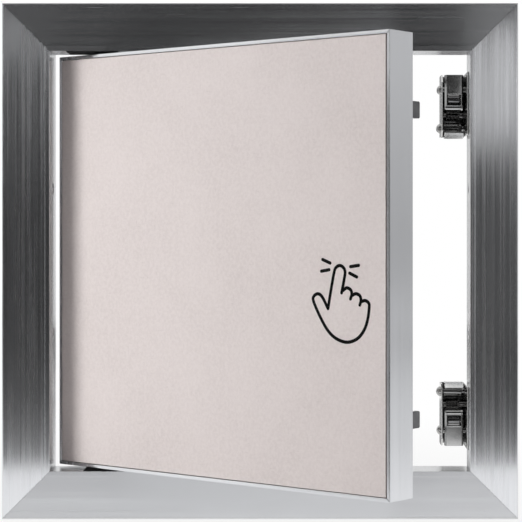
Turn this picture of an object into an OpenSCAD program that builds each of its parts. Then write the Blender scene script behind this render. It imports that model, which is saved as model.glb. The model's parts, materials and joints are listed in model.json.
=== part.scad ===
// Access panel for a ceiling or wall: a mitred aluminium frame, a hinged leaf that holds
// a piece of plasterboard, and two touch latches on the frame's right stile.
// X is right, Y goes into the wall or ceiling, Z is up. The origin is the middle of the
// opening, in the plane of the flange's back face. Lengths are in millimetres.

/* [Frame] */
// Outside size of the square flange
frame_size = 250; // [246:1:270]
// Clear opening between the inner walls
opening = 203.4; // [203:0.2:206]
// Depth of the frame from the bead's front to the wall's back edge
frame_depth = 20; // [19:0.5:22]
// Thickness of the flange
flange_t = 1.5; // [1.2:0.1:2]
// Thickness of the frame's inner wall
wall_t = 1.5; // [1.3:0.1:1.8]
// Width of the bead along the inner edge
bead_w = 2.4; // [1.8:0.1:3]
// Height of the bead above the flange
bead_h = 1; // [0.6:0.1:1.4]
// Height of the ribs of the key channel behind the wall
rib_h = 2.2; // [2.1:0.1:2.6]
// Length of each arm of a frame corner key
frame_key_arm = 16; // [12:0.5:16]
// Diameter of the fixing screw holes in the stiles
fix_hole_d = 4.4; // [3.6:0.2:5]
// Distance between the two fixing screw holes of a stile
fix_spacing = 70; // [40:1:90]

/* [Leaf] */
// Angle by which the leaf stands open
leaf_open = 38; // [0:1:95]
// Gap between the leaf and the frame
leaf_gap = 1.5; // [1.5:0.1:1.8]
// Thickness of the leaf
leaf_t = 17; // [17:0.1:17.4]
// Thickness of the leaf's edge wall
leaf_wall = 1.6; // [1.4:0.1:1.8]
// Thickness of the plasterboard
board_t = 12.5; // [12:0.1:12.5]
// Gap between the plasterboard and the edge wall
board_gap = 0.3; // [0.2:0.1:0.6]
// Length of each arm of a leaf corner key
leaf_key_arm = 21; // [16:0.5:21]
// Distance of the board screws from the middle of each side
screw_offset = 55; // [30:1:60]

/* [Hinge] */
// Distance of the hinge axis from the leaf's left edge
pivot_inset = 25; // [24:0.5:28]
// Distance of the hinge axis behind the leaf's front
pivot_depth = 7.5; // [6.5:0.1:7.5]
// Diameter of the hinge pins
pin_d = 4; // [3:0.2:4.4]

/* [Latch] */
// Height of the claw's pivot above and below the middle
claw_z = 66; // [65:0.1:67]
// Distance between the claw's pivot and the roller arm's pivot
pivot_span = 19.1; // [18.6:0.1:20]
// Thickness of the latch's sheet steel
sheet_t = 0.8; // [0.7:0.1:0.9]
// Width of the moving latch parts
latch_w = 9.2; // [8:0.1:9.4]
// Diameter of the latch pivot pins
latch_pin_d = 3; // [2.6:0.1:3.2]
// Diameter of the roller
roller_d = 4.6; // [4:0.1:4.8]
// Thickness of the strike's steel
strike_t = 2; // [1.6:0.1:2.4]

/* [Fits] */
// Radial running clearance of a pin in its bore
run_fit = 0.05; // [0.03:0.01:0.08]
// Radial clearance of a fixed rivet or screw in its hole
hole_fit = 0.02; // [0.02:0.01:0.04]

/* [Hidden] */
$fn = 48;
eps = 0.01;
// frame
front = flange_t + bead_h;
frame_r = frame_size / 2;
wall_in = opening / 2;
wall_out = wall_in + wall_t;
rib_out = wall_out + rib_h;
frame_back = frame_depth - front;
rib_t = 1.2;
rib_y0 = 2.4;
rib_y1 = 14.6;
rib_lip = 1;
rib_lip_t = 0.5;
edge_cut = 0.5;
key_t = 1.5;
key_side = 0.1;
fix_y = 8.5;
fix_sink = 0.8;
// leaf
leaf_r = wall_in - leaf_gap;
leaf_front = -front;
leaf_back = leaf_front + leaf_t;
board_recess = 0.2;
ledge_t = 1.3;
ledge_w = 21;
chamber_w = 10.6;
chamber_wall = 1.2;
ledge_front = leaf_front + board_recess + board_t;
ledge_back = ledge_front + ledge_t;
leaf_in = leaf_r - leaf_wall;
chamber_in = leaf_in - chamber_w;
leaf_key_t = 1.4;
board_r = leaf_in - board_gap;
board_slack = 0.5;
screw_in = leaf_r - ledge_w + 4.2;
screw_d = 3.5;
screw_len = 11;
screw_head_d = 6.8;
screw_head_h = 2;
// hinge
pivot_x = -leaf_r + pivot_inset;
pivot_y = leaf_front + pivot_depth;
bush_wall = 1;
plate_t = 0.5;
plate_long = 18.6;
plate_short = 10.4;
plate_tail = 6;
plate_y0 = -2;
plate_y1 = 12;
washer_t = 0.8;
washer_d = 8;
pin_head_d = 7.5;
pin_head_t = 0.6;
head_room = 0.3;
// latch
plate_out = wall_in;
plate_in = plate_out - sheet_t;
latch_side = 6.15;
latch_x = wall_in - latch_side;
cheek_in = latch_x - (plate_in - latch_x);
cheek_out = cheek_in - sheet_t;
latch_gap = 4.3;
latch_front = leaf_back + latch_gap;
cheek_drop = 2.2;
cheek_front = latch_front + cheek_drop;
plate_front = 5;
latch_depth = 15.4;
web_in = latch_front + latch_depth;
latch_back = web_in + sheet_t;
claw_depth = 12.4;
claw_y = latch_front + claw_depth;
arm_z = claw_z + pivot_span;
arm_depth = 9.2;
arm_y = latch_front + arm_depth;
hub_r = 2.8;
dome_r = 2.5;
dome_h = 2;
tail_r = 2.2;
tail_h = 0.8;
inner_end = 4.4;
outer_end = 7.3;
latch_in = claw_z - inner_end;
latch_out = arm_z + outer_end;
roller_rise = 13.8;
roller_depth = 3.2;
roller_z = claw_z + roller_rise;
roller_y = latch_front + roller_depth;
roller_side = 0.3;
roller_cut = 0.6;
axle_d = 1.6;
nose_r = 1.45;
nose_rise = 9.8;
nose_z = claw_z + nose_rise;
nose_side = 0.4;
side_t = 1;
cover_t = 1.1;
cover_cut = 0.9;
window_h = 4.8;
window_side = 1.2;
window_cut = 0.5;
arbor_rise = 6.4;
arbor_z = claw_z + arbor_rise;
wire_r = 0.4;
coil_r = 2.1;
coil_turns = 8;
coil_pitch = 0.76;
leg_len = 3.6;
rivet_r = 1.6;
rivet_tail_r = 2.6;
rivet_tail_h = 1.4;
rivet_y = 8.5;
rivet_inset = 2.4;
rivet_span = 15;
rivet_z = [claw_z + rivet_inset, claw_z + rivet_inset + rivet_span];
// strike
base_t = 1.5;
base_h = 10.4;
base_w = 8.6;
base_over = 5;
head_h = 7.4;
head_inset = 2.1;
notch_h = 2.6;
head_in = claw_z - head_inset;
neck_in = head_in + notch_h;
head_out = head_in + head_h;
neck_len = 5.7;
head_len = 5.6;
head_y = leaf_back + neck_len;
tip_y = head_y + head_len;
tip_cut = 0.5;
tongue_side = 1.55;
tongue_x = latch_x - tongue_side;
base_x = tongue_x + strike_t - base_w;
base_in = head_out + base_over - base_h;
strike_rivet_r = 1.5;
strike_rivet_side = 3;
strike_rivet_in = 2.4;
strike_rivet_span = 5.6;
strike_rivet_x = base_x + strike_rivet_side;
strike_rivet_z = [base_in + strike_rivet_in, base_in + strike_rivet_in + strike_rivet_span];
flush_r = 2.4;
flush_h = 0.8;

// A flat shape drawn as (depth, height), swept along X from x0 to x1
module along_x(x0, x1) {
    translate([x0, 0, 0])
        rotate([90, 0, 90])
            linear_extrude(x1 - x0) children();
}

// A flat shape drawn as (x, z), swept along Y from y0 to y1
module along_y(y0, y1) {
    translate([0, y1, 0])
        rotate([90, 0, 0])
            linear_extrude(y1 - y0) children();
}

// A round bar along X
module bar_x(x0, x1, y, z, r) {
    translate([x0, y, z])
        rotate([0, 90, 0])
            cylinder(h = x1 - x0, r = r);
}

// A round bar along Y
module bar_y(y0, y1, x, z, r) {
    translate([x, y1, z])
        rotate([90, 0, 0])
            cylinder(h = y1 - y0, r = r);
}

// Turns a piece made for the top side to another side
module to_side(turn) {
    rotate([0, turn, 0]) children();
}

// A top member cut to 45 degrees at both ends
module mitred() {
    intersection() {
        along_x(-frame_r - 1, frame_r + 1) children();
        along_y(-front - 1, frame_depth + 1)
            polygon([[0, 0], [frame_r + 1, frame_r + 1], [-frame_r - 1, frame_r + 1]]);
    }
}

// Swings a piece drawn on the closed leaf to the angle at which it stands open
module swing() {
    translate([pivot_x, pivot_y, 0])
        rotate([0, 0, -leaf_open])
            translate([-pivot_x, -pivot_y, 0]) children();
}

module frame_profile() {
    polygon([
        [-front, wall_in],
        [-front, wall_in + bead_w],
        [-flange_t, wall_in + bead_w],
        [-flange_t, frame_r - edge_cut],
        [-flange_t + edge_cut, frame_r],
        [0, frame_r],
        [0, wall_out],
        [rib_y0, wall_out],
        [rib_y0, rib_out],
        [rib_y0 + rib_t + rib_lip, rib_out],
        [rib_y0 + rib_t + rib_lip, rib_out - rib_lip_t],
        [rib_y0 + rib_t, rib_out - rib_lip_t],
        [rib_y0 + rib_t, wall_out],
        [rib_y1 - rib_t, wall_out],
        [rib_y1 - rib_t, rib_out - rib_lip_t],
        [rib_y1 - rib_t - rib_lip, rib_out - rib_lip_t],
        [rib_y1 - rib_t - rib_lip, rib_out],
        [rib_y1, rib_out],
        [rib_y1, wall_out],
        [frame_back, wall_out],
        [frame_back, wall_in]
    ]);
}

module leaf_profile() {
    difference() {
        polygon([
            [leaf_front, leaf_in],
            [leaf_front, leaf_r],
            [leaf_back, leaf_r],
            [leaf_back, chamber_in - chamber_wall],
            [ledge_back, chamber_in - chamber_wall],
            [ledge_back, leaf_r - ledge_w],
            [ledge_front, leaf_r - ledge_w],
            [ledge_front, leaf_in]
        ]);
        translate([ledge_back, chamber_in])
            square([leaf_back - ledge_t - ledge_back, chamber_w]);
    }
}

module fixing_holes() {
    for (s = [-1, 1])
        translate([s * fix_spacing / 2, fix_y, wall_in - 1]) {
            cylinder(h = wall_t + 2, d = fix_hole_d);
            translate([0, 0, 1 - eps])
                cylinder(
                    h = fix_sink + eps,
                    d1 = fix_hole_d + 2 * (fix_sink + eps),
                    d2 = fix_hole_d
                );
        }
}

module frame_rail() {
    difference() {
        mitred() frame_profile();
        translate([pivot_x, pivot_y, wall_in - 1])
            cylinder(h = wall_t + 2, r = pin_d / 2 + run_fit + bush_wall + hole_fit);
    }
}

module frame_rail_top() {
    color("silver") frame_rail();
}

module frame_rail_bottom() {
    color("silver") mirror([0, 0, 1]) frame_rail();
}

module frame_stile_left() {
    color("silver")
        to_side(-90) difference() {
            mitred() frame_profile();
            fixing_holes();
        }
}

module frame_stile_right() {
    color("silver")
        to_side(90) difference() {
            mitred() frame_profile();
            fixing_holes();
            for (s = [-1, 1], z = rivet_z)
                translate([s * z, rivet_y, wall_in - 1])
                    cylinder(h = wall_t + 2, r = rivet_r + hole_fit);
        }
}

module frame_corner_keys() {
    k = wall_out + key_t;
    color("gray")
        for (a = [0, 90, 180, 270])
            to_side(a)
                along_y(rib_y0 + rib_t + key_side, rib_y1 - rib_t - key_side)
                    polygon([
                        [wall_out, wall_out],
                        [wall_out, wall_out - frame_key_arm],
                        [k, wall_out - frame_key_arm],
                        [k, k],
                        [wall_out - frame_key_arm, k],
                        [wall_out - frame_key_arm, wall_out]
                    ]);
}

// A flanged bush whose flange is a plate under the frame's wall, longer at the hinge side
module hinge_plate(reach) {
    r = pin_d / 2 + run_fit;
    difference() {
        union() {
            translate([pivot_x - reach, plate_y0, wall_in - plate_t])
                cube([reach + plate_tail, plate_y1 - plate_y0, plate_t]);
            translate([pivot_x, pivot_y, wall_in - plate_t / 2])
                cylinder(h = wall_t + plate_t / 2, r = r + bush_wall);
        }
        translate([pivot_x, pivot_y, wall_in - 2])
            cylinder(h = wall_t + 4, r = r);
    }
}

module hinge_plate_top() {
    color("black") hinge_plate(plate_long);
}

module hinge_plate_bottom() {
    color("black") mirror([0, 0, 1]) hinge_plate(plate_short);
}

module hinge_pin() {
    swing() translate([pivot_x, pivot_y, 0]) {
        translate([0, 0, leaf_in - pin_head_t])
            cylinder(h = pin_head_t, d = pin_head_d);
        translate([0, 0, leaf_in - pin_head_t / 2])
            cylinder(h = wall_out - leaf_in + pin_head_t / 2, d = pin_d);
    }
}

module hinge_pin_top() {
    color("dimgray") hinge_pin();
}

module hinge_pin_bottom() {
    color("dimgray") mirror([0, 0, 1]) hinge_pin();
}

module hinge_washer() {
    swing() translate([pivot_x, pivot_y, leaf_r])
        difference() {
            cylinder(h = washer_t, d = washer_d);
            translate([0, 0, -1])
                cylinder(h = washer_t + 2, r = pin_d / 2 + hole_fit);
        }
}

module hinge_washer_top() {
    color("black") hinge_washer();
}

module hinge_washer_bottom() {
    color("black") mirror([0, 0, 1]) hinge_washer();
}

module leaf_member() {
    difference() {
        mitred() leaf_profile();
        for (s = [-1, 1])
            bar_y(ledge_front - 1, ledge_back + 1, s * screw_offset, screw_in,
                screw_d / 2 + hole_fit);
    }
}

module leaf_rail() {
    swing() difference() {
        leaf_member();
        translate([pivot_x, pivot_y, leaf_in - 1])
            cylinder(h = leaf_wall + 2, r = pin_d / 2 + hole_fit);
    }
}

module leaf_rail_top() {
    color("lightgray") leaf_rail();
}

module leaf_rail_bottom() {
    color("lightgray") mirror([0, 0, 1]) leaf_rail();
}

module leaf_stile_left() {
    color("lightgray") swing() to_side(-90) leaf_member();
}

module leaf_stile_right() {
    color("lightgray")
        swing() difference() {
            to_side(90) leaf_member();
            for (s = [-1, 1], z = strike_rivet_z)
                bar_y(leaf_back - ledge_t - 0.2, leaf_back + 1, strike_rivet_x, s * z,
                    strike_rivet_r + hole_fit);
        }
}

module leaf_corner_keys() {
    k = leaf_in - key_side;
    w = chamber_w - 2 * key_side;
    color("gray")
        swing()
            for (a = [0, 90, 180, 270])
                to_side(a)
                    along_y(ledge_back, ledge_back + leaf_key_t)
                        polygon([
                            [k, k],
                            [k - leaf_key_arm, k],
                            [k - leaf_key_arm, k - w],
                            [k - w, k - w],
                            [k - w, k - leaf_key_arm],
                            [k, k - leaf_key_arm]
                        ]);
}

module screw_places() {
    for (a = [0, 90, 180, 270], s = [-1, 1])
        to_side(a) translate([s * screw_offset, 0, screw_in]) children();
}

module plasterboard_panel() {
    color("rosybrown")
        swing() difference() {
            // pushed to the hinge side, so the gap is wider at the latch side
            translate([-board_r, leaf_front + board_recess, -board_r])
                cube([2 * board_r - board_slack, board_t, 2 * board_r]);
            screw_places()
                bar_y(ledge_back - screw_len, ledge_front + 1, 0, 0,
                    screw_d / 2 + hole_fit);
            // pockets for the heads of the hinge pins
            for (s = [0, 1])
                mirror([0, 0, s])
                    translate([pivot_x, pivot_y, leaf_in - pin_head_t - head_room])
                        cylinder(h = pin_head_t + 1, d = pin_head_d + 2 * head_room);
        }
}

module board_screws() {
    color("dimgray")
        swing() screw_places() {
            bar_y(ledge_back - screw_len + 0.4, ledge_back + 0.5, 0, 0, screw_d / 2);
            bar_y(ledge_back, ledge_back + screw_head_h, 0, 0, screw_head_d / 2);
        }
}

module latch_housing() {
    difference() {
        union() {
            along_x(plate_in, plate_out)
                polygon([
                    [plate_front, latch_in],
                    [plate_front, latch_out],
                    [latch_back, latch_out],
                    [latch_back, latch_in]
                ]);
            along_x(cheek_out, cheek_in)
                polygon([
                    [cheek_front, latch_in + 3],
                    [cheek_front, latch_out - 4],
                    [cheek_front + 3, latch_out],
                    [latch_back, latch_out],
                    [latch_back, latch_in],
                    [cheek_front + 4, latch_in]
                ]);
            translate([cheek_out, web_in, latch_in])
                cube([plate_out - cheek_out, sheet_t, latch_out - latch_in]);
        }
        bar_x(cheek_out - 1, plate_out + 1, claw_y, claw_z, latch_pin_d / 2 + hole_fit);
        bar_x(cheek_out - 1, plate_out + 1, arm_y, arm_z, latch_pin_d / 2 + hole_fit);
        bar_x(cheek_out - 1, plate_out + 1, claw_y, arbor_z, coil_r - wire_r - 0.2 + hole_fit);
        for (z = rivet_z)
            bar_x(plate_in - 1, plate_out + 1, rivet_y, z, rivet_r + hole_fit);
    }
}

module latch_claw() {
    x0 = latch_x - latch_w / 2;
    y = claw_y;
    z = claw_z;
    difference() {
        union() {
            along_x(x0, x0 + latch_w)
                // the lip's sloping front, its hook, and the arm back to the hub
                polygon([
                    [y - 10.9, z - 5.7],
                    [y - 13.5, z - 3],
                    [y - 13, z - 2.5],
                    [y - 11.3, z - 2.5],
                    [y - 11.3, z - 4.7],
                    [y - 5.6, z - 4.3],
                    [y - 2.6, z - 1],
                    [y, z],
                    [y + 1, z - 2.4],
                    [y - 1.8, z - 4],
                    [y - 5.2, z - 5.5]
                ]);
            bar_x(x0, x0 + latch_w, y, z, hub_r);
        }
        bar_x(x0 - 1, x0 + latch_w + 1, y, z, latch_pin_d / 2 + run_fit);
    }
}

// Cuts a straight 45 degree edge off the front of the roller arm, from z0 to z1
module front_cut(x, z0, z1, cut) {
    translate([x, latch_front, z0])
        rotate([0, 0, 45])
            translate([-cut / sqrt(2), -cut / sqrt(2), 0])
                cube([cut * sqrt(2), cut * sqrt(2), z1 - z0]);
}

// Side plates, cover plate with a window, and the round nose bar below it
module latch_roller_arm() {
    x0 = latch_x - latch_w / 2;
    x1 = latch_x + latch_w / 2;
    f = latch_front;
    difference() {
        union() {
            difference() {
                along_x(x0, x1)
                    polygon([
                        [f, nose_z],
                        [f, latch_out - 0.4],
                        [f + 5, latch_out - 0.4],
                        [f + 12.2, arm_z + 3.3],
                        [f + 12.2, arm_z - 3.2],
                        [f + 7.2, arm_z - 3.7],
                        [f + 5.8, nose_z + 2.1],
                        [f + 2.7, nose_z - 0.9],
                        [f + 1.2, nose_z - 0.9]
                    ]);
                // hollow between the side plates, behind the cover plate
                translate([x0 + side_t, f + cover_t, nose_z - 3])
                    cube([latch_w - 2 * side_t, 20, latch_out - nose_z + 5]);
                // window in front of the roller, open down to the nose bar
                translate([x0 + window_side, f - 1, nose_z])
                    cube([latch_w - 2 * window_side, 3, roller_z - nose_z + window_h / 2]);
                translate([0, 0, roller_z + window_h / 2])
                    along_x(x0 + window_side, x1 - window_side)
                        polygon([
                            [f + window_cut, 0],
                            [f, window_cut],
                            [f - 0.2, window_cut],
                            [f - 0.2, 0]
                        ]);
                // bends along both edges of the cover plate
                for (x = [x0, x1])
                    front_cut(x, nose_z - 2, latch_out, cover_cut);
            }
            bar_x(x0 + nose_side, x1 - nose_side, f + nose_r, nose_z, nose_r);
        }
        bar_x(x0 - 1, x1 + 1, arm_y, arm_z, latch_pin_d / 2 + run_fit);
        bar_x(x0 - 1, x1 + 1, roller_y, roller_z, axle_d / 2 + hole_fit);
    }
}

module latch_roller() {
    x0 = latch_x - latch_w / 2 + side_t + roller_side;
    x1 = latch_x + latch_w / 2 - side_t - roller_side;
    r = roller_d / 2;
    w = x1 - x0;
    difference() {
        translate([x0, roller_y, roller_z])
            rotate([0, 90, 0])
                rotate_extrude()
                    polygon([[0, 0], [r - roller_cut, 0], [r, roller_cut], [r, w - roller_cut],
                             [r - roller_cut, w], [0, w]]);
        bar_x(x0 - 1, x1 + 1, roller_y, roller_z, axle_d / 2 + run_fit);
    }
}

module latch_roller_axle() {
    bar_x(latch_x - latch_w / 2, latch_x + latch_w / 2, roller_y, roller_z, axle_d / 2);
}

// A pin with a domed head at the left and an upset tail at the right
module latch_pin(y, z) {
    ball_r = (dome_r * dome_r + dome_h * dome_h) / (2 * dome_h);
    bar_x(cheek_out - 0.2, plate_out + 0.2, y, z, latch_pin_d / 2);
    bar_x(plate_out, plate_out + tail_h, y, z, tail_r);
    intersection() {
        translate([cheek_out - dome_h + ball_r, y, z]) sphere(r = ball_r);
        bar_x(cheek_out - dome_h - 1, cheek_out, y, z, dome_r + 1);
    }
}

module latch_spring() {
    x0 = latch_x - coil_turns * coil_pitch / 2;
    for (i = [0 : coil_turns])
        translate([x0 + i * coil_pitch, claw_y, arbor_z])
            rotate([0, 90, 0])
                rotate_extrude() translate([coil_r, 0]) circle(r = wire_r);
    // one leg seats on the housing's web, the other points to the front
    bar_y(claw_y, web_in, x0, arbor_z - coil_r, wire_r);
    bar_y(claw_y - leg_len, claw_y, x0 + coil_turns * coil_pitch, arbor_z - coil_r, wire_r);
}

module latch_spring_arbor() {
    bar_x(cheek_out, plate_out, claw_y, arbor_z, coil_r - wire_r - 0.2);
}

module upper_latch_housing() {
    color("gainsboro") latch_housing();
}

module upper_latch_claw() {
    color("gray") latch_claw();
}

module upper_latch_roller_arm() {
    color("darkgray") latch_roller_arm();
}

module upper_latch_roller() {
    color("white") latch_roller();
}

module upper_latch_roller_axle() {
    color("dimgray") latch_roller_axle();
}

module upper_latch_claw_pin() {
    color("silver") latch_pin(claw_y, claw_z);
}

module upper_latch_arm_pin() {
    color("silver") latch_pin(arm_y, arm_z);
}

module upper_latch_spring() {
    color("black") latch_spring();
}

module upper_latch_spring_arbor() {
    color("dimgray") latch_spring_arbor();
}

module lower_latch_housing() {
    color("gainsboro") mirror([0, 0, 1]) latch_housing();
}

module lower_latch_claw() {
    color("gray") mirror([0, 0, 1]) latch_claw();
}

module lower_latch_roller_arm() {
    color("darkgray") mirror([0, 0, 1]) latch_roller_arm();
}

module lower_latch_roller() {
    color("white") mirror([0, 0, 1]) latch_roller();
}

module lower_latch_roller_axle() {
    color("dimgray") mirror([0, 0, 1]) latch_roller_axle();
}

module lower_latch_claw_pin() {
    color("silver") mirror([0, 0, 1]) latch_pin(claw_y, claw_z);
}

module lower_latch_arm_pin() {
    color("silver") mirror([0, 0, 1]) latch_pin(arm_y, arm_z);
}

module lower_latch_spring() {
    color("black") mirror([0, 0, 1]) latch_spring();
}

module lower_latch_spring_arbor() {
    color("dimgray") mirror([0, 0, 1]) latch_spring_arbor();
}

module latch_rivets() {
    color("silver")
        for (s = [-1, 1], z = rivet_z) {
            bar_x(plate_in, wall_out + 0.2, rivet_y, s * z, rivet_r);
            bar_x(wall_out, wall_out + rivet_tail_h, rivet_y, s * z, rivet_tail_r);
        }
}

module strike() {
    difference() {
        union() {
            along_x(tongue_x, tongue_x + strike_t)
                polygon([
                    [leaf_back, neck_in],
                    [head_y, neck_in],
                    [head_y, head_in],
                    [tip_y - tip_cut, head_in],
                    [tip_y, head_in + tip_cut],
                    [tip_y, head_out - tip_cut],
                    [tip_y - tip_cut, head_out],
                    [leaf_back, head_out]
                ]);
            translate([base_x, leaf_back, base_in])
                cube([base_w, base_t, base_h]);
        }
        for (z = strike_rivet_z) {
            bar_y(leaf_back - 1, leaf_back + base_t + 1, strike_rivet_x, z,
                strike_rivet_r + hole_fit);
            bar_y(leaf_back + base_t - flush_h, leaf_back + base_t + 1, strike_rivet_x, z,
                flush_r + hole_fit);
        }
    }
}

module upper_strike() {
    color("dimgray") swing() strike();
}

module lower_strike() {
    color("dimgray") mirror([0, 0, 1]) swing() strike();
}

module strike_rivets() {
    y0 = leaf_back - ledge_t;
    color("silver")
        swing()
            for (s = [-1, 1], z = strike_rivet_z) {
                bar_y(y0 - 1, y0, strike_rivet_x, s * z, flush_r);
                bar_y(y0 - 0.5, leaf_back + base_t - 0.2, strike_rivet_x, s * z,
                    strike_rivet_r);
                bar_y(leaf_back + base_t - flush_h, leaf_back + base_t, strike_rivet_x,
                    s * z, flush_r);
            }
}

frame_rail_top();
frame_rail_bottom();
frame_stile_left();
frame_stile_right();
frame_corner_keys();
hinge_plate_top();
hinge_plate_bottom();
upper_latch_housing();
upper_latch_claw();
upper_latch_roller_arm();
upper_latch_roller();
upper_latch_roller_axle();
upper_latch_claw_pin();
upper_latch_arm_pin();
upper_latch_spring();
upper_latch_spring_arbor();
lower_latch_housing();
lower_latch_claw();
lower_latch_roller_arm();
lower_latch_roller();
lower_latch_roller_axle();
lower_latch_claw_pin();
lower_latch_arm_pin();
lower_latch_spring();
lower_latch_spring_arbor();
latch_rivets();
leaf_rail_top();
leaf_rail_bottom();
leaf_stile_left();
leaf_stile_right();
leaf_corner_keys();
plasterboard_panel();
board_screws();
upper_strike();
lower_strike();
strike_rivets();
hinge_pin_top();
hinge_pin_bottom();
hinge_washer_top();
hinge_washer_bottom();
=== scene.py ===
import json
import math

import bpy
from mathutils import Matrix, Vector

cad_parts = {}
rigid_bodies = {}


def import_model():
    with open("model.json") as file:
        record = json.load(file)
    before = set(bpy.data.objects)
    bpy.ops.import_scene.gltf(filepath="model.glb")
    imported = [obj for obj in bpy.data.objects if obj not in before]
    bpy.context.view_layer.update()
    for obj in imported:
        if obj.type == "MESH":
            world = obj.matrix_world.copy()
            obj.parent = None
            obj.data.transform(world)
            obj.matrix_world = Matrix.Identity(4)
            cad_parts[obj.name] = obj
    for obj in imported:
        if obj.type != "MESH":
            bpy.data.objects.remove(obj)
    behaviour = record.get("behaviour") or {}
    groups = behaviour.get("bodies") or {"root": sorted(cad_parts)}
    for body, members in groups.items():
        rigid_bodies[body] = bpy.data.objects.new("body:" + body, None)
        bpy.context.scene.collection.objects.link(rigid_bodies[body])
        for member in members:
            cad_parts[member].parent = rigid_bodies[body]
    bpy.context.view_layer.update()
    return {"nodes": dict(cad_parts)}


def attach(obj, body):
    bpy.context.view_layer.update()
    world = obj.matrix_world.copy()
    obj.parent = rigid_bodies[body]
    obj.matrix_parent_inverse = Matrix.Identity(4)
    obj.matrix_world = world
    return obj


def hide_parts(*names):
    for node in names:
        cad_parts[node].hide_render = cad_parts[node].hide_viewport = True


for left_over in list(bpy.data.objects):
    bpy.data.objects.remove(left_over)

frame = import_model()
nodes = frame["nodes"]
scene = bpy.context.scene
scene.view_settings.view_transform = "Standard"

# Sizes in metres, as the solids have them
OPEN = math.radians(38)
PIVOT_X, PIVOT_Y = -0.0752, 0.005
BOARD_FRONT = -0.0023
FLOOR_Z = -0.125

# Widths of the small rounds on edges
FRAME_ROUND = 0.00026
LEAF_ROUND = 0.00018
BOARD_ROUND = 0.0004
LATCH_ROUND = 0.0003
SMALL_ROUND = 0.00012
SHARP_ANGLE = math.radians(35)
WELD_REACH = 1e-6

# Springs, wound from one wire between two legs
COIL_X, COIL_Y, COIL_Z = 0.09251, 0.0312, 0.0724
COIL_R, COIL_PITCH, COIL_TURNS = 0.0021, 0.00076, 8
COIL_STEPS = 28 * COIL_TURNS
COIL_FOOT_Y, COIL_LEG = 0.0342, 0.0036
WIRE_R, WIRE_SIDES = 0.00038, 12

# Pan-head screws that hold the board
SCREW_IN, SCREW_OFF, LEDGE_BACK = 0.0834, 0.055, 0.0115
HEAD_R, HEAD_H, SHANK_R, SHANK_LEN = 0.0034, 0.002, 0.00175, 0.0106
RECESS_REACH, RECESS_HALF, RECESS_DEEP = 0.00185, 0.00042, 0.0011
HEAD_RINGS, HEAD_SPOKES = 22, 72
HEAD_CREASE = math.radians(40)

# Ink of the printed mark; its stroke is in millimetres, as the drawing is
INK_STROKE = 1.5
INK_LIFT = 0.00004
INK_FILM = 0.00006

# Painted highlight on the claws' lips: their ends are painted bright, for the pale floor they mirror
LIP_HIGHLIGHT_END = (0.0628, 0.0638)
LIP_HIGHLIGHT_STEEL = (0.76, 0.76, 0.75)


def on_leaf(x, y, z):
    """A point of the closed leaf, where the open leaf has it."""
    dx, dy = x - PIVOT_X, y - PIVOT_Y
    cos, sin = math.cos(OPEN), math.sin(OPEN)
    return (PIVOT_X + dx * cos + dy * sin, PIVOT_Y - dx * sin + dy * cos, z)


# Camera: square on to the frame, right of and above its middle

camera_data = bpy.data.cameras.new("camera")
camera = bpy.data.objects.new("camera", camera_data)
scene.collection.objects.link(camera)
camera.location = (0.0275, -0.8496, 0.0158)
camera.rotation_euler = (math.pi / 2, 0, 0)
camera_data.sensor_width = 36
camera_data.lens = 120.8
camera_data.shift_x = -0.107
camera_data.shift_y = -0.0622
camera_data.clip_start = 0.01
camera_data.clip_end = 100
scene.camera = camera


# Material helpers

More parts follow.
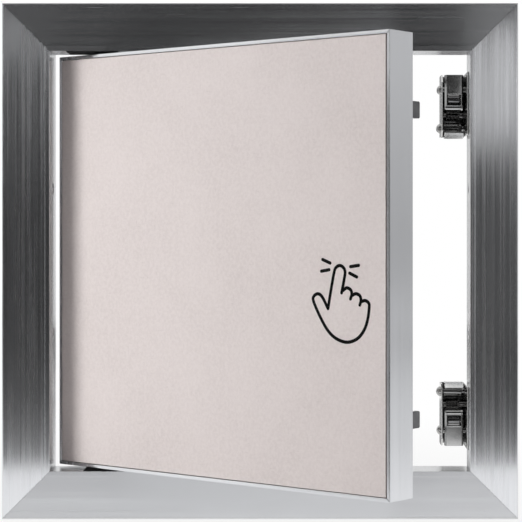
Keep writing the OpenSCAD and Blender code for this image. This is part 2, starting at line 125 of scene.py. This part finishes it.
class Nodes:
    """A material's node tree, with short calls for the nodes used here."""

    def __init__(self, name):
        self.material = bpy.data.materials.new(name)
        self.material.use_nodes = True
        self.tree = self.material.node_tree
        self.shader = self.tree.nodes["Principled BSDF"]
        self.output = self.tree.nodes["Material Output"]

    def add(self, kind, **settings):
        node = self.tree.nodes.new(kind)
        for key, value in settings.items():
            setattr(node, key, value)
        return node

    def link(self, a, b):
        self.tree.links.new(a, b)

    def coords(self, turn=0.0, scale=(1, 1, 1)):
        """Object coordinates, turned about Z and then stretched."""
        out = self.add("ShaderNodeTexCoord").outputs["Object"]
        if turn:
            rotate = self.add("ShaderNodeMapping")
            rotate.inputs["Rotation"].default_value = (0, 0, turn)
            self.link(out, rotate.inputs["Vector"])
            out = rotate.outputs["Vector"]
        stretch = self.add("ShaderNodeMapping")
        stretch.inputs["Scale"].default_value = scale
        self.link(out, stretch.inputs["Vector"])
        return stretch.outputs["Vector"]

    def noise(self, vector, scale, detail=3.0, rough=0.5):
        node = self.add("ShaderNodeTexNoise")
        node.inputs["Scale"].default_value = scale
        node.inputs["Detail"].default_value = detail
        node.inputs["Roughness"].default_value = rough
        self.link(vector, node.inputs["Vector"])
        return node.outputs["Fac"]

    def ramp(self, value, *stops):
        node = self.add("ShaderNodeValToRGB")
        band = node.color_ramp
        while len(band.elements) < len(stops):
            band.elements.new(0.5)
        for element, (place, colour) in zip(band.elements, stops):
            element.position = place
            element.color = (*colour, 1)
        self.link(value, node.inputs["Fac"])
        return node.outputs["Color"]

    def span(self, value, low, high, a=0.0, b=1.0):
        node = self.add("ShaderNodeMapRange")
        node.inputs["From Min"].default_value = low
        node.inputs["From Max"].default_value = high
        node.inputs["To Min"].default_value = a
        node.inputs["To Max"].default_value = b
        self.link(value, node.inputs["Value"])
        return node.outputs["Result"]

    def math(self, operation, a, b=None):
        node = self.add("ShaderNodeMath", operation=operation)
        for socket, value in zip(node.inputs, (a, b)):
            if value is None:
                continue
            if isinstance(value, (int, float)):
                socket.default_value = value
            else:
                self.link(value, socket)
        return node.outputs["Value"]

    def mix(self, factor, a, b, blend="MIX"):
        node = self.add("ShaderNodeMix", data_type="RGBA", blend_type=blend)
        sockets = (node.inputs[0], node.inputs[6], node.inputs[7])
        for socket, value in zip(sockets, (factor, a, b)):
            if isinstance(value, (int, float)):
                socket.default_value = value
            elif isinstance(value, tuple):
                socket.default_value = (*value, 1)
            else:
                self.link(value, socket)
        return node.outputs[2]

    def bump(self, height, strength, distance):
        node = self.add("ShaderNodeBump")
        node.inputs["Strength"].default_value = strength
        node.inputs["Distance"].default_value = distance
        self.link(height, node.inputs["Height"])
        self.link(node.outputs["Normal"], self.shader.inputs["Normal"])

    def set(self, **values):
        for key, value in values.items():
            self.shader.inputs[key.replace("_", " ")].default_value = value

    def to(self, socket, name):
        self.link(socket, self.shader.inputs[name])


def extruded_aluminium(name, along, depth, streak, turn=0.0):
    """Mill-finish extrusion: fine die lines run along the member, which stretches reflections."""
    m = Nodes(name)
    middle, tint = (0.695, 0.7, 0.71), 0.045 * streak
    dark = tuple(c - tint for c in middle)
    light = tuple(c + tint for c in middle)
    rough, swing = 0.23, 0.11 * streak

    def lines(stretch):
        return m.coords(turn, tuple(stretch if axis == along else 1.0 for axis in "xyz"))

    fine = m.noise(lines(0.0015), 1300, 3, 0.6)
    broad = m.noise(lines(0.0012), 420, 3, 0.55)
    short = m.noise(lines(0.01), 1700, 3, 0.65)
    patch = m.noise(lines(0.06), 150, 3, 0.55)
    cloud = m.noise(m.coords(turn), 45, 3, 0.55)
    long_lines = m.math("ADD", m.math("MULTIPLY", fine, 0.45), m.math("MULTIPLY", broad, 0.4))
    streaks = m.math("ADD", long_lines, m.math("MULTIPLY", short, 0.15))
    colour = m.ramp(streaks, (0.36, dark), (0.5, middle), (0.64, light))
    m.to(m.mix(m.span(cloud, 0.35, 0.7, 0.0, 0.4), colour, (0.67, 0.675, 0.68)), "Base Color")
    tooth = m.math("ADD", m.math("MULTIPLY", streaks, 0.75), m.math("MULTIPLY", patch, 0.25))
    m.to(m.span(tooth, 0.38, 0.62, rough - swing, rough + swing), "Roughness")
    m.bump(streaks, depth, 0.00012)
    m.set(Metallic=1.0, Anisotropic=1.0, Anisotropic_Rotation=0.25)
    grain = {"x": (math.cos(turn), -math.sin(turn), 0), "z": (0, 0, 1)}[along]
    world = m.add("ShaderNodeVectorTransform", vector_type="VECTOR", convert_from="OBJECT",
                  convert_to="WORLD")
    world.inputs[0].default_value = grain
    m.to(world.outputs[0], "Tangent")
    return m.material


def plated_steel(name, dark, light, rough, painted_hollow_shade=1.0, lip_highlight=None):
    """Plating over pressed sheet: soft clouds and a fine tooth.

    The colour can be darkened in recesses, as painted shade, and the end nearest the panel's middle can
    be painted bright, as a painted highlight: the last argument gives the heights at which the bright
    part ends and the plain plating starts.
    """
    m = Nodes(name)
    cloud = m.noise(m.coords(), 160, 4, 0.55)
    tooth = m.noise(m.coords(), 2700, 3, 0.6)
    colour = m.ramp(cloud, (0.3, dark), (0.7, light))
    # Painted shade: where the piece's own walls close in, the colour is darkened, standing in for the
    # shade in its recesses.
    if painted_hollow_shade < 1:
        open_sky = m.add("ShaderNodeAmbientOcclusion", only_local=True, samples=8)
        open_sky.inputs["Distance"].default_value = 0.016
        shade = m.span(open_sky.outputs["AO"], 0.45, 0.85, painted_hollow_shade, 1.0)
        colour = m.mix(1.0, colour, shade, "MULTIPLY")
    # Painted highlight: the end nearest the panel's middle is painted bright steel, standing in for the
    # pale floor mirrored there.
    if lip_highlight:
        place = m.add("ShaderNodeSeparateXYZ")
        m.link(m.coords(), place.inputs[0])
        height = m.math("ABSOLUTE", place.outputs["Z"])
        colour = m.mix(m.span(height, *lip_highlight, 1.0, 0.0), colour, LIP_HIGHLIGHT_STEEL)
    m.to(colour, "Base Color")
    m.to(m.span(cloud, 0.3, 0.7, rough * 0.75, rough * 1.3), "Roughness")
    m.bump(tooth, 0.03, 0.00003)
    m.set(Metallic=1.0)
    return m.material


def moulded_plastic(name, colour):
    m = Nodes(name)
    cloud = m.noise(m.coords(), 300, 3, 0.5)
    deeper = tuple(c * 0.86 for c in colour)
    m.to(m.ramp(cloud, (0.3, deeper), (0.7, colour)), "Base Color")
    m.to(m.span(cloud, 0.3, 0.7, 0.6, 0.75), "Roughness")
    m.bump(m.noise(m.coords(), 4000, 2, 0.5), 0.05, 0.00003)
    m.set(Specular_IOR_Level=0.08)
    return m.material


def board_paper(name):
    """Grey-pink face paper with clouds, short fibres and a faint felt texture."""
    m = Nodes(name)
    cloud = m.noise(m.coords(), 22, 4, 0.6)
    felt = m.noise(m.coords(), 700, 4, 0.65)
    fibre_a = m.noise(m.coords(OPEN, (260, 1000, 1700)), 1.0, 3, 0.5)
    fibre_b = m.noise(m.coords(OPEN, (1700, 1000, 320)), 1.0, 3, 0.5)
    face = m.ramp(cloud, (0.3, (0.64, 0.575, 0.56)), (0.7, (0.7, 0.632, 0.617)))
    back = m.ramp(cloud, (0.3, (0.5, 0.49, 0.47)), (0.7, (0.6, 0.59, 0.57)))
    outward = m.add("ShaderNodeVectorMath", operation="DOT_PRODUCT")
    outward.inputs[1].default_value = (-math.sin(OPEN), -math.cos(OPEN), 0)
    m.link(m.add("ShaderNodeTexCoord").outputs["Normal"], outward.inputs[0])
    base = m.mix(m.span(outward.outputs["Value"], -0.6, -0.4, 1.0, 0.0), face, back)
    fibre = m.math("MAXIMUM", m.span(fibre_a, 0.62, 0.75), m.span(fibre_b, 0.62, 0.75))
    speck = m.math("MULTIPLY", fibre, 0.22)
    colour = m.mix(speck, base, (0.46, 0.4, 0.385))
    m.to(m.mix(m.span(felt, 0.38, 0.62, 0.0, 0.5), colour, (0.76, 0.695, 0.68)), "Base Color")
    m.set(Roughness=0.88)
    m.bump(m.math("ADD", felt, m.math("MULTIPLY", fibre, 0.5)), 0.4, 0.0001)
    return m.material


def printed_ink(name):
    m = Nodes(name)
    felt = m.noise(m.coords(), 900, 3, 0.6)
    m.to(m.ramp(felt, (0.3, (0.002, 0.002, 0.002)), (0.75, (0.008, 0.0075, 0.0075))), "Base Color")
    m.set(Roughness=0.85, Specular_IOR_Level=0.1)
    return m.material


# Materials on the CAD nodes

METALS = {
    "frame_rail_top": extruded_aluminium("frame_rail_metal", "x", 0.06, 0.4),
    "frame_stile_left": extruded_aluminium("frame_stile_metal", "z", 0.35, 1.0),
    "leaf_rail_top": extruded_aluminium("leaf_rail_metal", "x", 0.1, 0.6, OPEN),
    "leaf_stile_left": extruded_aluminium("leaf_stile_metal", "z", 0.05, 0.3, OPEN),
}
METALS["frame_rail_bottom"] = METALS["frame_rail_top"]
METALS["frame_stile_right"] = METALS["frame_stile_left"]
METALS["leaf_rail_bottom"] = METALS["leaf_rail_top"]
METALS["leaf_stile_right"] = METALS["leaf_stile_left"]

bright_plate = plated_steel("bright_plating", (0.74, 0.735, 0.72), (0.86, 0.855, 0.845), 0.11)
arm_plate = plated_steel("arm_plating", (0.5, 0.5, 0.49), (0.6, 0.6, 0.59), 0.07)
# The housing's recesses are painted nearly black: painted shade.
housing_plate = plated_steel("housing_plating", (0.58, 0.58, 0.57), (0.7, 0.7, 0.69), 0.13, 0.04)
pin_plate = plated_steel("pin_plating", (0.36, 0.36, 0.355), (0.46, 0.46, 0.45), 0.15)
# Painted shade: the claw, the roller and the spring wire get very dark plating, standing in for the
# shade deep inside the latch; the claw's lip ends carry the painted highlight.
claw_plate = plated_steel("claw_plating", (0.22, 0.22, 0.215), (0.3, 0.3, 0.295), 0.1,
                          lip_highlight=LIP_HIGHLIGHT_END)
roller_steel = plated_steel("roller_steel", (0.2, 0.2, 0.2), (0.28, 0.28, 0.28), 0.1)
dull_plate = plated_steel("dull_plating", (0.5, 0.5, 0.49), (0.68, 0.68, 0.67), 0.24)
dark_plate = plated_steel("dark_steel", (0.1, 0.1, 0.105), (0.2, 0.2, 0.2), 0.42)
wire_steel = plated_steel("spring_wire", (0.2, 0.195, 0.19), (0.32, 0.315, 0.31), 0.12)
black_nylon = moulded_plastic("black_nylon", (0.013, 0.013, 0.014))

for name, obj in nodes.items():
    if name in METALS:
        finish = METALS[name]
    elif name == "plasterboard_panel":
        finish = board_paper("face_paper")
    elif "strike" in name and "rivets" not in name:
        finish = dark_plate
    elif "hinge_plate" in name or "washer" in name:
        finish = black_nylon
    elif "housing" in name:
        finish = housing_plate
    elif "spring" in name:
        finish = wire_steel
    elif name.endswith("roller_arm"):
        finish = arm_plate
    elif name.endswith("latch_claw"):
        finish = claw_plate
    elif name.endswith("latch_roller"):
        finish = roller_steel
    elif name.endswith(("claw_pin", "arm_pin")):
        finish = pin_plate
    elif "latch" in name and "latch_rivets" not in name:
        finish = bright_plate
    else:
        finish = dull_plate
    obj.data.materials.clear()
    obj.data.materials.append(finish)


# Pressed and sawn edges: a small round on every sharp edge of the rigid pieces

def smooth_group():
    """Drops the imported normals and shades the rounded edges smooth."""
    group = bpy.data.node_groups.new("edge_shading", "GeometryNodeTree")
    group.interface.new_socket("Geometry", in_out="INPUT", socket_type="NodeSocketGeometry")
    group.interface.new_socket("Geometry", in_out="OUTPUT", socket_type="NodeSocketGeometry")
    into = group.nodes.new("NodeGroupInput")
    out = group.nodes.new("NodeGroupOutput")
    drop = group.nodes.new("GeometryNodeRemoveAttribute")
    drop.inputs["Name"].default_value = "custom_normal"
    faces = group.nodes.new("GeometryNodeSetShadeSmooth")
    edges = group.nodes.new("GeometryNodeSetShadeSmooth")
    edges.domain = "EDGE"
    group.links.new(into.outputs[0], drop.inputs["Geometry"])
    group.links.new(drop.outputs[0], faces.inputs["Geometry"])
    group.links.new(faces.outputs[0], edges.inputs["Geometry"])
    group.links.new(edges.outputs[0], out.inputs[0])
    return group


SHADING = smooth_group()


def soften(obj, width, segments=2):
    """Rounds the sharp edges of a piece and shades its flat faces flat."""
    weld = obj.modifiers.new("weld", "WELD")
    weld.merge_threshold = WELD_REACH
    bevel = obj.modifiers.new("bevel", "BEVEL")
    bevel.width = width
    bevel.segments = segments
    bevel.limit_method = "ANGLE"
    bevel.angle_limit = SHARP_ANGLE
    bevel.use_clamp_overlap = True
    shade = obj.modifiers.new("shade", "NODES")
    shade.node_group = SHADING
    obj.modifiers.new("normals", "WEIGHTED_NORMAL").keep_sharp = True


for name, obj in nodes.items():
    if "spring" in name and "arbor" not in name:
        continue
    if name in METALS:
        soften(obj, FRAME_ROUND if "frame" in name else LEAF_ROUND)
    elif name == "plasterboard_panel":
        soften(obj, BOARD_ROUND)
    elif name.endswith(("latch_housing", "roller_arm", "latch_claw")):
        soften(obj, LATCH_ROUND, 3)
    else:
        soften(obj, SMALL_ROUND)


# Coil springs wound from one wire, and screw heads with a cross recess

def add_piece(name, verts, faces, material, smooth=True):
    mesh = bpy.data.meshes.new(name)
    mesh.from_pydata(verts, [], faces)
    mesh.materials.append(material)
    mesh.polygons.foreach_set("use_smooth", [smooth] * len(faces))
    piece = bpy.data.objects.new(name, mesh)
    scene.collection.objects.link(piece)
    return piece


def wire(name, path, material):
    """A round wire along a path of points."""
    verts, faces = [], []
    sides = WIRE_SIDES
    across = Vector((1, 0, 0))
    for i, p in enumerate(path):
        run = (path[min(i + 1, len(path) - 1)] - path[max(i - 1, 0)]).normalized()
        across = (across - run * across.dot(run)).normalized()
        up = run.cross(across)
        for k in range(sides):
            a = 2 * math.pi * k / sides
            verts.append(p + WIRE_R * (math.cos(a) * across + math.sin(a) * up))
    for i in range(len(path) - 1):
        for k in range(sides):
            a, b = i * sides + k, i * sides + (k + 1) % sides
            faces.append((a, b, b + sides, a + sides))
    faces.append(tuple(reversed(range(sides))))
    faces.append(tuple(range((len(path) - 1) * sides, len(path) * sides)))
    return add_piece(name, verts, faces, material)


def coil_path(side):
    """Middle of a spring's wire; side is 1 for the upper latch and -1 for the lower one."""
    path = [Vector((COIL_X, COIL_FOOT_Y, side * (COIL_Z - COIL_R)))]
    for i in range(COIL_STEPS + 1):
        turns = COIL_TURNS * i / COIL_STEPS
        angle = math.pi + 2 * math.pi * turns
        path.append(Vector((COIL_X + COIL_PITCH * turns,
                            COIL_Y + COIL_R * math.sin(angle),
                            side * (COIL_Z + COIL_R * math.cos(angle)))))
    path.append(path[-1] - Vector((0, COIL_LEG, 0)))
    return path


for half, side in (("upper", 1), ("lower", -1)):
    spring = wire(half + "_coil", coil_path(side), wire_steel)
    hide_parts(half + "_latch_spring")
    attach(spring, "frame")


def screw_head(r, turn):
    """Height of a pan head above its seat, with a cross recess in its middle."""
    rim = r / HEAD_R
    top = HEAD_H * (0.42 + 0.58 * math.sqrt(max(0.0, 1 - rim ** 3)))
    u, v = abs(r * math.cos(turn)), abs(r * math.sin(turn))
    arm = min(max(u, v) / RECESS_REACH, 1.0)
    inside = min(u, v) < RECESS_HALF and arm < 1
    return top - (RECESS_DEEP * (1 - arm * 0.55) if inside else 0.0)


def board_screws():
    """Two screws per side of the leaf, each with its recess at another angle."""
    verts, faces = [], []
    spokes = [2 * math.pi * k / HEAD_SPOKES for k in range(HEAD_SPOKES)]
    rings = [HEAD_R * k / HEAD_RINGS for k in range(1, HEAD_RINGS + 1)]
    under = ((HEAD_R, 0.0), (SHANK_R, 0.0), (SHANK_R, SHANK_LEN * 0.8), (SHANK_R * 0.2, SHANK_LEN))
    for side, (along, across) in enumerate(((1, 0), (0, 1), (-1, 0), (0, -1))):
        for off in (-SCREW_OFF, SCREW_OFF):
            mx = along * off + across * SCREW_IN
            mz = along * SCREW_IN - across * off
            twist = off * 40 + side

            def put(r, turn, y):
                x = mx + r * math.cos(turn + twist)
                z = mz + r * math.sin(turn + twist)
                verts.append(on_leaf(x, y, z))
                return len(verts) - 1

            rows = [[put(r, a, LEDGE_BACK + screw_head(r, a)) for a in spokes] for r in rings]
            rows += [[put(r, a, LEDGE_BACK - deep) for a in spokes] for r, deep in under]
            for inner, outer in zip(rows, rows[1:]):
                for k in range(HEAD_SPOKES):
                    n = (k + 1) % HEAD_SPOKES
                    faces.append((inner[n], outer[n], outer[k], inner[k]))
            faces.append(tuple(reversed(rows[0])))
            faces.append(tuple(rows[-1]))
    return add_piece("cross_head_screws", verts, faces, dull_plate)


screws = board_screws()
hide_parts("board_screws")
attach(screws, "leaf")
screws.modifiers.new("edges", "EDGE_SPLIT").split_angle = HEAD_CREASE


# The pointing hand printed on the board, near the edge that is pressed

def smooth_line(points, steps=8):
    """A smooth curve through the points; two points stay a straight line."""
    knots = [Vector(p) for p in points]
    if len(knots) == 2:
        return knots
    knots = [2 * knots[0] - knots[1], *knots, 2 * knots[-1] - knots[-2]]
    line = []
    for a, b, c, d in zip(knots, knots[1:], knots[2:], knots[3:]):
        for k in range(steps):
            t = k / steps
            line.append(0.5 * (2 * b + (c - a) * t + (2 * a - 5 * b + 4 * c - d) * t * t
                               + (3 * b - a - 3 * c + d) * t ** 3))
    line.append(knots[-2])
    return line


def ribbon(points, width):
    """Outline of a flat stroke: its two long sides and its round ends."""
    line = smooth_line(points)
    left, right = [], []
    for i, p in enumerate(line):
        run = (line[min(i + 1, len(line) - 1)] - line[max(i - 1, 0)]).normalized()
        side = Vector((-run.y, run.x)) * width / 2
        left.append(p + side)
        right.append(p - side)

    def cap(middle, start):
        turn = [math.pi * k / 6 for k in range(1, 6)]
        return [middle + Vector((start.x * math.cos(a) - start.y * math.sin(a),
                                 start.x * math.sin(a) + start.y * math.cos(a))) for a in turn]

    end = cap(line[-1], right[-1] - line[-1])
    begin = cap(line[0], left[0] - line[0])
    return left, right, begin, end


def hand_mark():
    verts, faces = [], []

    def place(p):
        verts.append(on_leaf(p.x / 1000, BOARD_FRONT - INK_LIFT, p.y / 1000))
        return len(verts) - 1

    # Millimetres from the middle of the closed leaf: finger, two knuckles, palm and thumb, four ticks
    strokes = [
        [(67, -19), (68.6, -11), (70.4, -3), (71.5, -1), (73.4, -0.2), (75.3, -1), (76.3, -3),
         (75.6, -7), (74.4, -12)],
        [(75, -11), (77.2, -9.8), (79.3, -10.6), (79.9, -12.4), (79.2, -14.5)],
        [(80, -13), (82.1, -12.2), (84.2, -13), (84.8, -15), (84.2, -17)],
        [(84.8, -15.6), (87, -15), (88.9, -16), (89.2, -18), (88.4, -23), (86.6, -27.5), (83, -31.4),
         (77.6, -33.2), (71.8, -32), (67, -28.6), (62.6, -22.6), (59, -16), (59.2, -13.8),
         (61.4, -12.7), (63.8, -14), (67, -19)],
        [(64, 2.3), (68.2, 0.8)],
        [(63.3, -2.8), (67.6, -2.1)],
        [(79.2, -0.6), (83.6, 0)],
        [(78.7, -3.4), (82.6, -5)],
    ]
    for points in strokes:
        left, right, begin, end = ribbon(points, INK_STROKE)
        a = [place(p) for p in left]
        b = [place(p) for p in right]
        for i in range(len(a) - 1):
            faces.append((a[i], b[i], b[i + 1], a[i + 1]))
        faces.append((b[-1], *[place(p) for p in end], a[-1]))
        faces.append((a[0], *[place(p) for p in begin], b[0]))
    mark = add_piece("press_here_mark", verts, faces, printed_ink("black_print"), smooth=False)
    film = mark.modifiers.new("ink_film", "SOLIDIFY")
    film.thickness = INK_FILM
    film.offset = -1
    return mark


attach(hand_mark(), "leaf")


# Floor, lamps, background and the cards that the metal mirrors

def flat_panel(name, corners, material):
    mesh = bpy.data.meshes.new(name)
    mesh.from_pydata(corners, [], [(0, 1, 2, 3)])
    mesh.materials.append(material)
    panel = bpy.data.objects.new(name, mesh)
    scene.collection.objects.link(panel)
    return panel


def floor_material():
    """Pale grey, and white to the camera away from the object, so no horizon shows."""
    m = Nodes("pale_floor")
    path = m.add("ShaderNodeLightPath")
    grain = m.noise(m.coords(), 60, 3, 0.5)
    m.to(m.ramp(grain, (0.3, (0.86, 0.86, 0.86)), (0.7, (0.9, 0.9, 0.9))), "Base Color")
    m.set(Roughness=0.9)
    reach = m.add("ShaderNodeVectorMath", operation="LENGTH")
    m.link(m.coords(), reach.inputs[0])
    far = m.span(reach.outputs["Value"], 0.12, 0.5, 0.82, 1.0)
    white = m.add("ShaderNodeEmission")
    blend = m.add("ShaderNodeMixShader")
    seen = m.math("MULTIPLY", path.outputs["Is Camera Ray"], far)
    m.link(m.math("MAXIMUM", seen, path.outputs["Is Glossy Ray"]), blend.inputs[0])
    m.link(m.shader.outputs[0], blend.inputs[1])
    m.link(white.outputs[0], blend.inputs[2])
    m.link(blend.outputs[0], m.output.inputs["Surface"])
    return m.material


LOW = FLOOR_Z - 0.0002
flat_panel("floor", [(-6, -6, LOW), (6, -6, LOW), (6, 6, LOW), (-6, 6, LOW)], floor_material())


def card(name, corners, axis, *stops):
    """A studio card that only reflections see; its greys are given at places along an axis."""
    m = Nodes(name)
    m.tree.nodes.remove(m.shader)
    parts = m.add("ShaderNodeSeparateXYZ")
    m.link(m.coords(), parts.inputs[0])
    first, last = stops[0][0], stops[-1][0]
    tone = m.span(parts.outputs["xyz".index(axis)], first, last)
    tint = (0.985, 0.99, 1.01)
    greys = [((place - first) / (last - first), tuple(grey * c for c in tint)) for place, grey in stops]
    glow = m.add("ShaderNodeEmission")
    m.link(m.ramp(tone, *greys), glow.inputs["Color"])
    m.link(glow.outputs[0], m.output.inputs["Surface"])
    panel = flat_panel(name, corners, m.material)
    panel.visible_camera = False
    panel.visible_diffuse = False
    panel.visible_shadow = False
    panel.visible_transmission = False
    panel.visible_volume_scatter = False


def upright(y, x0, x1, z0, z1):
    return [(x0, y, z0), (x1, y, z0), (x1, y, z1), (x0, y, z1)]


def level(z, x0, x1, y0, y1):
    return [(x0, y0, z), (x1, y0, z), (x1, y1, z), (x0, y1, z)]


def sideways(x, y0, y1, z0, z1):
    return [(x, y0, z0), (x, y1, z0), (x, y1, z1), (x, y0, z1)]


CARD_Z = -0.1247
card("front_card", upright(-1.3, -3, 3, -0.3, 3), "z",
     (-0.3, 0.05), (-0.1, 0.04), (0.0, 0.038), (0.15, 0.048), (0.3, 0.042), (3, 0.042))
card("crown_card", upright(-1.29, -1, 1, 0.2, 3), "x",
     (-1, 0.06), (-0.26, 0.06), (-0.117, 0.055), (-0.054, 0.042), (0.06, 0.03), (1, 0.03))
card("right_card", upright(-1.28, 0.215, 1.6, -0.3, 0.27), "z",
     (-0.3, 0.13), (0.085, 0.115), (0.105, 0.2), (0.128, 1.0), (0.15, 1.15), (0.27, 1.15))
card("left_card", upright(-1.28, -3, -0.29, 0.1, 0.285), "z",
     (0.1, 0.036), (0.185, 0.043), (0.215, 0.055), (0.24, 0.44), (0.285, 0.68))
card("top_card", level(1.0, -0.3, 0.3, 0.0, 0.3), "x", (-0.3, 0.06), (0.3, 0.06))
card("back_card", upright(2.0, -0.22, 0.06, -0.12, 0.6), "z", (-0.12, 0.3), (0.6, 0.3))
card("low_card", level(CARD_Z, -3, 3, -1.3, -0.18), "y",
     (-1.3, 0.06), (-1.1, 0.06), (-0.6, 0.09), (-0.44, 0.12), (-0.32, 0.17), (-0.242, 0.24),
     (-0.2, 0.34), (-0.18, 1.1))
card("near_card", level(CARD_Z, -3, 3, -0.18, -0.0035), "y", (-0.18, 1.1), (-0.0035, 1.14))
card("side_floor_card", level(CARD_Z, 0.127, 1.4, -0.0035, 0.35), "x", (0.127, 0.86), (1.4, 0.86))
card("rear_right_card", level(CARD_Z, 0.13, 3, 0.352, 1.6), "y",
     (0.352, 0.6), (0.55, 0.25), (0.8, 0.14), (1.6, 0.12))
card("rear_left_card", level(CARD_Z, -3, -0.125, 0.05, 1.6), "y",
     (0.05, 1.0), (0.2, 0.8), (0.4, 0.4), (0.7, 0.16), (1.6, 0.12))
card("side_card", sideways(1.4, -1.3, 1.2, -0.12, 0.9), "z",
     (-0.12, 0.8), (-0.03, 0.55), (0.1, 0.6), (0.23, 0.7), (0.9, 0.7))
card("back_floor_card", level(CARD_Z, 0.03, 0.09, 0.14, 0.6), "y", (0.14, 0.3), (0.6, 0.3))
card("latch_card", upright(-0.3, 0.105, 0.128, 0.095, 0.135), "z", (0.095, 0.05), (0.135, 0.05))
card("latch_floor_card", level(CARD_Z + 0.0001, 0.1, 0.1245, -0.345, -0.2), "y",
     (-0.345, 0.42), (-0.28, 0.45), (-0.262, 1.0), (-0.2, 1.0))
card("left_floor_card", level(CARD_Z + 0.0001, -0.3, -0.125, -0.275, -0.178), "y",
     (-0.275, 0.15), (-0.215, 0.19), (-0.178, 0.46))
card("lip_card", sideways(-1.0, -1.29, -0.3, -0.12, 0.165), "z",
     (-0.12, 0.35), (0.02, 0.06), (0.165, 0.02))
card("top_lip_card", sideways(-1.0, -0.45, -0.03, 0.17, 0.6), "z", (0.17, 1.4), (0.6, 1.4))
card("edge_card", sideways(-1.0, 0.1, 0.5, -0.09, 0.9), "z", (-0.09, 0.1), (0.9, 0.06))


def lamp(name, place, width, height, power):
    """A soft lamp aimed at the middle of the frame; the metal mirrors only the cards."""
    data = bpy.data.lights.new(name, "AREA")
    data.shape = "RECTANGLE"
    data.size = width
    data.size_y = height
    data.energy = power
    obj = bpy.data.objects.new(name, data)
    scene.collection.objects.link(obj)
    obj.location = place
    obj.rotation_euler = (-Vector(place)).to_track_quat("-Z", "Y").to_euler()
    obj.visible_glossy = False


lamp("key_lamp", (-0.45, -0.28, -0.15), 0.3, 0.7, 4.5)
lamp("fill_lamp", (0.2, -1.2, 0.0), 1.2, 1.2, 0.7)
lamp("top_lamp", (0, 0.3, 1.5), 1.2, 1.2, 4)
lamp("back_lamp", (0.5, 1.1, 0.4), 0.8, 0.8, 5)

# The world is white where it is seen or mirrored, and gives little light
world = bpy.data.worlds.new("studio")
scene.world = world
world.use_nodes = True
tree = world.node_tree
background = tree.nodes["Background"]
rays = tree.nodes.new("ShaderNodeLightPath")
mirrored = tree.nodes.new("ShaderNodeMath")
mirrored.operation = "ADD"
tree.links.new(rays.outputs["Is Camera Ray"], mirrored.inputs[0])
tree.links.new(rays.outputs["Is Glossy Ray"], mirrored.inputs[1])
visible = tree.nodes.new("ShaderNodeMath")
visible.operation = "ADD"
tree.links.new(mirrored.outputs[0], visible.inputs[0])
tree.links.new(rays.outputs["Is Transmission Ray"], visible.inputs[1])
strength = tree.nodes.new("ShaderNodeMapRange")
strength.inputs["To Min"].default_value = 0.25
strength.inputs["To Max"].default_value = 1.0
tree.links.new(visible.outputs[0], strength.inputs["Value"])
tree.links.new(strength.outputs["Result"], background.inputs["Strength"])
background.inputs["Color"].default_value = (1, 1, 1, 1)
